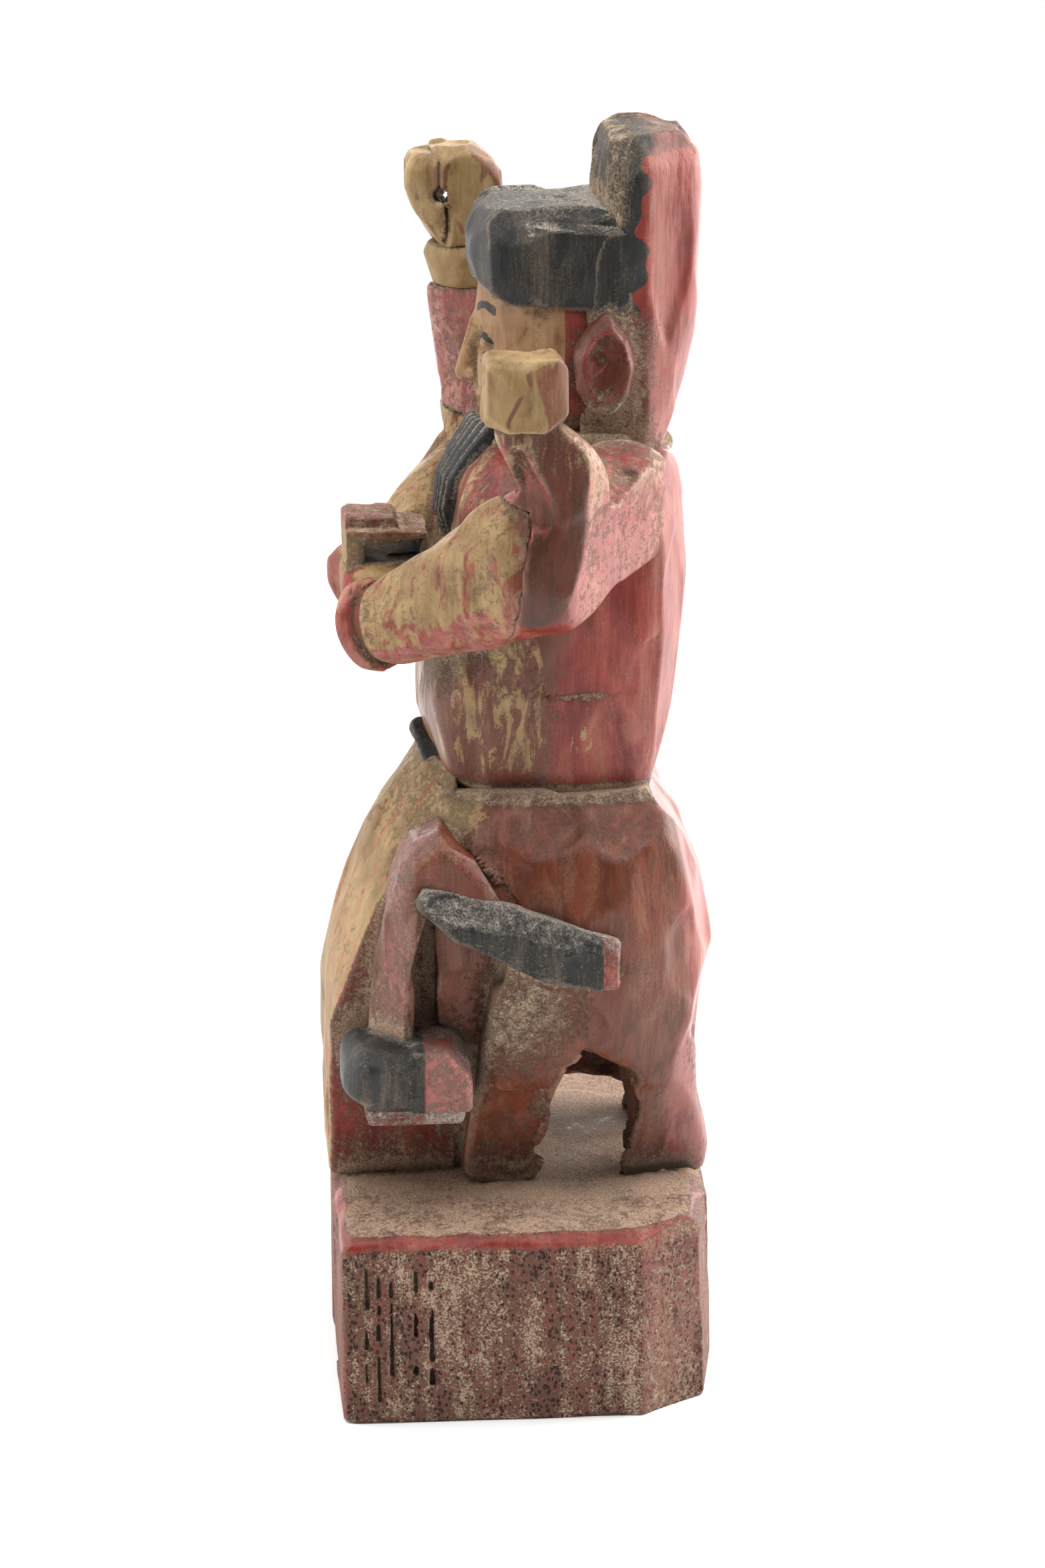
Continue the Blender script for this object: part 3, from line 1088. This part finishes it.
DARK_RED = (0.150, 0.015, 0.010)
MID_RED = (0.290, 0.036, 0.024)
ROSE = (0.430, 0.175, 0.150)
LINE_RED = (0.480, 0.080, 0.060)
MUSTARD = (0.370, 0.248, 0.105)
OLIVE = (0.200, 0.115, 0.042)
CHARCOAL = (0.026, 0.026, 0.025)
SOOT = (0.008, 0.008, 0.008)
FLESH_TAN = (0.360, 0.205, 0.095)
FLESH_DEEP = (0.220, 0.105, 0.044)
UMBER = (0.085, 0.028, 0.012)
RUSSET = (0.150, 0.040, 0.018)
DUST_BROWN = (0.270, 0.180, 0.105)
DUST_TAN = (0.400, 0.285, 0.180)
DUST_PALE = (0.600, 0.460, 0.330)
DUSTS = {False: (DUST_BROWN, DUST_PALE), True: ((0.150, 0.125, 0.100), (0.560, 0.500, 0.430))}
PLINTH_BROWN = (0.130, 0.052, 0.034)
PLINTH_RED = (0.235, 0.060, 0.042)
CRACK = (0.018, 0.008, 0.005)
OLD_WOOD = (0.300, 0.180, 0.085)
CUT_WOOD = (0.520, 0.350, 0.190)
PAPER_TINT = (0.620, 0.500, 0.330)


class Shader:
    """A short way to write a material's nodes."""

    def __init__(self, name):
        self.material = bpy.data.materials.new(name)
        self.material.use_nodes = True
        self.tree = self.material.node_tree
        self.tree.nodes.clear()

    def node(self, kind, inputs=(), **settings):
        made = self.tree.nodes.new(kind)
        for key, value in settings.items():
            setattr(made, key, value)
        for key, value in dict(inputs).items():
            self.put(made.inputs[key], value)
        return made

    def put(self, socket, value):
        if isinstance(value, bpy.types.NodeSocket):
            self.tree.links.new(value, socket)
        elif isinstance(value, tuple) and len(value) == 3 and socket.type == "RGBA":
            socket.default_value = (*value, 1)
        else:
            socket.default_value = value

    def place(self, stretch=(1, 1, 1)):
        """Object coordinates in millimetres, squeezed along each axis."""
        at = self.node("ShaderNodeTexCoord").outputs["Object"]
        scale = tuple(s / MM for s in stretch)
        return self.node("ShaderNodeMapping", {"Vector": at, "Scale": scale}).outputs["Vector"]

    def noise(self, at, size, detail=4.0, rough=0.55, warp=0.0):
        """Noise whose blobs are about size mm across."""
        made = self.node("ShaderNodeTexNoise", {"Vector": at, "Scale": 1 / size, "Detail": detail,
                                                "Roughness": rough, "Distortion": warp})
        return made.outputs["Fac"]

    def cells(self, at, size, feature="F1"):
        made = self.node("ShaderNodeTexVoronoi", {"Vector": at, "Scale": 1 / size}, feature=feature)
        return made.outputs["Distance"]

    def maths(self, kind, a, b=0.0, c=0.0, clamp=False):
        made = self.node("ShaderNodeMath", operation=kind, use_clamp=clamp)
        for socket, value in zip(made.inputs, (a, b, c)):
            self.put(socket, value)
        return made.outputs[0]

    def times(self, a, b):
        return self.maths("MULTIPLY", a, b)

    def plus(self, a, b):
        return self.maths("ADD", a, b)

    def step(self, value, low, high, to_low=0.0, to_high=1.0):
        """A smooth step of value between low and high."""
        made = self.node("ShaderNodeMapRange", {"Value": value, "From Min": low, "From Max": high,
                                                "To Min": to_low, "To Max": to_high},
                         interpolation_type="SMOOTHSTEP")
        return made.outputs["Result"]

    def mix(self, amount, a, b):
        made = self.node("ShaderNodeMix", data_type="RGBA")
        self.put(made.inputs["Factor"], amount)
        self.put(made.inputs[6], a)
        self.put(made.inputs[7], b)
        return made.outputs[2]

    def stored(self, name):
        return self.node("ShaderNodeAttribute", attribute_name=name).outputs["Fac"]

    def bump(self, height, distance, normal=None):
        made = self.node("ShaderNodeBump", {"Height": height, "Distance": distance * MM,
                                            "Strength": 1.0})
        if normal:
            self.put(made.inputs["Normal"], normal)
        return made.outputs["Normal"]

    def finish(self, colour, rough, normal, **constants):
        made = self.node("ShaderNodeBsdfPrincipled", {"Base Color": colour, "Roughness": rough,
                                                      "Normal": normal})
        for key, value in constants.items():
            made.inputs[key.replace("_", " ")].default_value = value
        out = self.node("ShaderNodeOutputMaterial")
        self.tree.links.new(made.outputs["BSDF"], out.inputs["Surface"])
        return self.material


def painted_wood(name, base, lined=False):
    """Carved wood under worn paint, with glaze, wear, dust in the hollows and dark cracks.

    base is the paint that covers the whole piece; stored amounts bring in the other paints.
    """
    s = Shader(name)
    at = s.place()
    upright = s.place((1, 1, 0.22))
    fibre = s.noise(s.place((1, 1, 0.05)), 0.5, 4, 0.6)
    grain = s.noise(s.place((1, 1, 0.12)), 1.3, 5, 0.62, 0.4)
    ragged = s.noise(upright, 3.6, 8, 0.66, 0.9)
    blotch = s.noise(at, 11.0, 6, 0.6, 0.8)
    stain = s.noise(upright, 6.5, 7, 0.62, 0.6)
    speck = s.noise(at, 0.5, 4, 0.7)
    crumbs = s.noise(at, 1.6, 7, 0.72, 0.3)

    def centred(value, amount):
        return s.times(s.plus(value, -0.5), amount)

    tone = s.plus(s.plus(s.times(blotch, 0.45), s.times(stain, 0.35)), s.times(grain, 0.20))

    def paint(dark, light):
        return s.mix(s.step(tone, 0.38, 0.64), dark, light)

    colours = {"red": paint(DARK_RED, MID_RED), "gold": paint(OLIVE, MUSTARD),
               "black": paint(SOOT, CHARCOAL), "flesh": paint(FLESH_DEEP, FLESH_TAN)}
    colour = colours[base]

    def cover(mask, raggedness=1.5, soft=0.05):
        edge = s.plus(s.stored(mask), s.plus(centred(ragged, raggedness), centred(speck, 0.35)))
        return s.step(edge, 0.5 - soft, 0.5 + soft)

    if lined:
        across = s.node("ShaderNodeSeparateXYZ", {"Vector": at})
        fan = s.maths("DIVIDE", across.outputs["X"], s.plus(s.times(across.outputs["Z"], -0.08), 34.0))
        sway = centred(s.noise(upright, 9.0, 2), 0.10)
        cycle = s.maths("PINGPONG", s.times(s.plus(fan, sway), 4.0), 0.5)
        line = s.times(s.step(cycle, 0.060, 0.030), s.stored("lines"))
        colour = s.mix(s.times(line, s.step(stain, 0.42, 0.52)), colour, LINE_RED)
    for paint_name in ("red", "black", "flesh"):
        if paint_name != base:
            soft = 0.12 if base == "gold" else 0.05
            colour = s.mix(cover(paint_name, soft=soft), colour, colours[paint_name])
    glaze = s.plus(s.stored("glaze"), s.plus(centred(blotch, 1.2), centred(ragged, 0.6)))
    brown = s.mix(s.step(ragged, 0.4, 0.6), UMBER, RUSSET)
    colour = s.mix(s.times(s.step(glaze, 0.36, 0.66), 0.86), colour, brown)
    if base != "gold":
        colour = s.mix(cover("gold"), colour, colours["gold"])
    rosy = s.plus(s.stored("pale"), s.plus(centred(stain, 1.2), centred(ragged, 0.5)))
    colour = s.mix(s.times(s.step(rosy, 0.34, 0.85), 0.55), colour, ROSE)
    worn = s.plus(s.stored("edge"), s.plus(centred(speck, 0.9), centred(ragged, 0.8)))
    colour = s.mix(s.times(s.step(worn, 0.42, 0.85), 0.30), colour, s.mix(0.5, colour, DUST_PALE))
    veil = s.plus(s.times(fibre, 0.18), s.plus(s.times(stain, 0.52), s.times(speck, 0.30)))
    colour = s.mix(s.times(s.step(veil, 0.46, 0.66), 0.34), colour, s.mix(0.75, colour, DUST_TAN))
    shade = s.times(s.stored("dark"), s.step(stain, 0.2, 0.6, 0.45, 0.80))
    colour = s.mix(shade, colour, s.mix(0.85, colour, CRACK))
    soot = s.plus(s.times(blotch, 0.4), s.plus(s.times(grain, 0.3), s.times(speck, 0.3)))
    colour = s.mix(s.times(s.step(soot, 0.47, 0.34), 0.42), colour, s.mix(0.8, colour, CRACK))

    porous = s.stored("porous")
    patch = s.noise(s.place((1, 1, 0.45)), 9.0, 7, 0.68, 0.3)
    streaks = s.noise(s.place((1, 1, 0.04)), 2.4, 4, 0.6)
    holes = s.cells(s.place((1, 1, 0.7)), 0.95)
    holes = s.step(s.plus(holes, s.plus(centred(patch, 1.4), centred(crumbs, 1.5))), 0.27, 0.12)
    pits = s.times(holes, porous)
    bare = s.mix(s.step(patch, 0.40, 0.60), PLINTH_BROWN, PLINTH_RED)
    colour = s.mix(s.times(porous, 0.85), colour, bare)

    grime = s.plus(s.times(s.stored("shut"), 0.72), s.times(s.stored("hollow"), 0.35))
    grime = s.plus(s.plus(grime, s.stored("dust")), s.plus(centred(crumbs, 1.7), centred(speck, 0.7)))
    grime = s.plus(grime, centred(stain, 0.8))
    dusty = s.step(grime, 0.50, 1.05)
    side_dust = s.plus(s.plus(s.times(patch, 0.45), s.times(streaks, 0.20)),
                       s.plus(s.times(crumbs, 0.35), centred(speck, 0.5)))
    dusty = s.maths("MAXIMUM", dusty, s.times(s.step(side_dust, 0.45, 0.56), s.times(porous, 1.05)))
    dust = s.mix(s.step(speck, 0.3, 0.7), *DUSTS[base == "black"])
    colour = s.mix(s.times(dusty, 0.78), colour, dust)
    sunk = s.times(s.stored("dark"), s.plus(s.times(porous, 0.55), 0.5))
    deep = s.plus(s.plus(s.stored("shut"), sunk), s.plus(centred(crumbs, 0.9), centred(speck, 0.3)))
    deep = s.times(s.step(deep, 0.80, 1.20), 0.85)
    colour = s.mix(s.maths("MAXIMUM", deep, s.times(pits, 0.9)), colour, CRACK)

    low_gloss = {"gold": 0.25, "flesh": 0.25, "black": 0.14, "red": 0.0}[base]
    rough = s.plus(s.step(stain, 0.3, 0.7, 0.28 + low_gloss, 0.48 + low_gloss), s.times(dusty, 0.50))
    if base == "red":
        rough = s.plus(rough, s.times(s.stored("black"), 0.30))
    rough = s.maths("MINIMUM", s.plus(rough, s.times(porous, 0.35)), 0.95)
    lumps = s.bump(s.noise(upright, 5.0, 3), 0.5)
    cut = s.bump(s.plus(s.times(grain, 0.7), s.times(fibre, 0.3)), 0.16, lumps)
    crust = s.bump(s.times(s.plus(crumbs, s.times(speck, 0.5)), s.plus(dusty, 0.15)), 0.55, cut)
    normal = s.bump(pits, -0.45, crust)
    return s.finish(colour, rough, normal, IOR=1.40)


def bare_wood():
    s = Shader("bare_wood")
    rings = s.noise(s.place((1, 1, 0.12)), 0.9, 5, 0.6, 0.5)
    fine = s.noise(s.place((1, 1, 0.06)), 0.3, 3)
    colour = s.mix(s.step(rings, 0.35, 0.65), OLD_WOOD, CUT_WOOD)
    return s.finish(colour, s.step(fine, 0.2, 0.8, 0.6, 0.85), s.bump(s.plus(rings, fine), 0.12))


def paper():
    s = Shader("paper")
    fibre = s.noise(s.place((1, 1, 0.5)), 0.6, 5, 0.7)
    stain = s.noise(s.place(), 6.0, 4)
    colour = s.mix(s.step(stain, 0.4, 0.7), PAPER_TINT, (0.45, 0.33, 0.19))
    return s.finish(colour, s.step(fibre, 0.2, 0.8, 0.75, 0.95), s.bump(fibre, 0.08))


MATERIALS = {name: painted_wood(name, base, lined=name == "lined_gold") for name, base in (
    ("red_lacquer", "red"), ("gold_paint", "gold"), ("lined_gold", "gold"), ("black_paint", "black"),
    ("flesh_paint", "flesh"))}
MATERIALS["bare_wood"] = bare_wood()
MATERIALS["paper"] = paper()

# ------------------------------------------------------------------ the figure

for order, form in enumerate(FORMS):
    piece = carve(form, order)
    piece.data.materials.append(MATERIALS[form.get("finish", form["slot"])])
    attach(piece, form.get("body", "figure"))
    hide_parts(*form["nodes"])

for node, finish in (("paper_roll", "paper"), ("fist_pegs", "bare_wood"), ("arm_pegs", "bare_wood"),
                     ("plinth_pegs", "bare_wood")):
    shown = frame["nodes"][node]
    shown.data.materials.clear()
    shown.data.materials.append(MATERIALS[finish])

# ------------------------------------------------------------------ floor, light and camera

FLOOR_HALF = 0.8


def pale_floor():
    """A large plain floor, pale enough to run into the white room."""
    mesh = bpy.data.meshes.new("pale_floor")
    corners = [(-FLOOR_HALF, -FLOOR_HALF), (FLOOR_HALF, -FLOOR_HALF), (FLOOR_HALF, FLOOR_HALF),
               (-FLOOR_HALF, FLOOR_HALF)]
    mesh.from_pydata([(x, y, FLOOR_Z) for x, y in corners], [], [(0, 1, 2, 3)])
    floor = bpy.data.objects.new("pale_floor", mesh)
    bpy.context.scene.collection.objects.link(floor)
    s = Shader("pale_floor")
    mottled = s.noise(s.place(), 60.0, 3)
    mesh.materials.append(s.finish(s.mix(mottled, (0.88, 0.88, 0.875), (0.92, 0.92, 0.915)), 0.9,
                                   s.bump(mottled, 0.05)))


pale_floor()


def soft_light(name, at, size, power, aim=(0, 0, 0.13)):
    data = bpy.data.lights.new(name, "AREA")
    data.shape = "RECTANGLE"
    data.size, data.size_y = size
    data.energy = power
    lamp = bpy.data.objects.new(name, data)
    lamp.location = at
    lamp.visible_camera = False
    lamp.rotation_euler = (Vector(aim) - Vector(at)).to_track_quat("-Z", "Y").to_euler()
    bpy.context.scene.collection.objects.link(lamp)


soft_light("front_window", (-0.15, -1.2, 0.50), (0.9, 0.9), 8)
soft_light("back_window", (-0.25, 1.15, 0.50), (0.9, 0.9), 22)
soft_light("far_window", (-1.25, 0.25, 0.35), (1.2, 0.6), 14)
soft_light("overhead", (0.12, 0.0, 1.35), (1.4, 1.4), 21)

ROOM_FAR, ROOM_NEAR = 1.05, 0.23  # how bright the room is on the -X side and on the +X side


def pale_room():
    """A white room whose +X side is in shade, so that the light wraps round from behind."""
    world = bpy.data.worlds.new("pale_room")
    bpy.context.scene.world = world
    world.use_nodes = True
    tree = world.node_tree
    tree.nodes.clear()
    add = tree.nodes.new
    way, split = add("ShaderNodeTexCoord"), add("ShaderNodeSeparateXYZ")
    tree.links.new(way.outputs["Generated"], split.inputs["Vector"])
    fade = add("ShaderNodeMapRange")
    fade.interpolation_type = "SMOOTHSTEP"
    for key, value in (("From Min", -0.35), ("From Max", 0.75), ("To Min", ROOM_FAR),
                       ("To Max", ROOM_NEAR)):
        fade.inputs[key].default_value = value
    tree.links.new(split.outputs["X"], fade.inputs["Value"])
    path, pick = add("ShaderNodeLightPath"), add("ShaderNodeMix")
    tree.links.new(path.outputs["Is Camera Ray"], pick.inputs["Factor"])
    tree.links.new(fade.outputs["Result"], pick.inputs["A"])
    pick.inputs["B"].default_value = 1.0
    back, out = add("ShaderNodeBackground"), add("ShaderNodeOutputWorld")
    back.inputs["Color"].default_value = (1, 1, 1, 1)
    tree.links.new(pick.outputs["Result"], back.inputs["Strength"])
    tree.links.new(back.outputs["Background"], out.inputs["Surface"])


pale_room()

# The photograph's view: from the figure's left, a little in front of it and from above.
SENSOR = 36.0
FOCAL = 150.06
AIM = Vector((0.0, 0.001, 0.132))
DISTANCE = 1.0
AZIMUTH = math.radians(85)
PITCH = math.radians(17)
lens = bpy.data.cameras.new("camera")
lens.sensor_fit = "HORIZONTAL"
lens.sensor_width = SENSOR
lens.lens = FOCAL
camera = bpy.data.objects.new("camera", lens)
away = Vector((math.sin(AZIMUTH) * math.cos(PITCH), -math.cos(AZIMUTH) * math.cos(PITCH),
               math.sin(PITCH)))
camera.location = AIM + away * DISTANCE
camera.rotation_euler = (-away).to_track_quat("-Z", "Y").to_euler()
bpy.context.scene.collection.objects.link(camera)
bpy.context.scene.camera = camera

bpy.context.scene.view_settings.view_transform = "Standard"
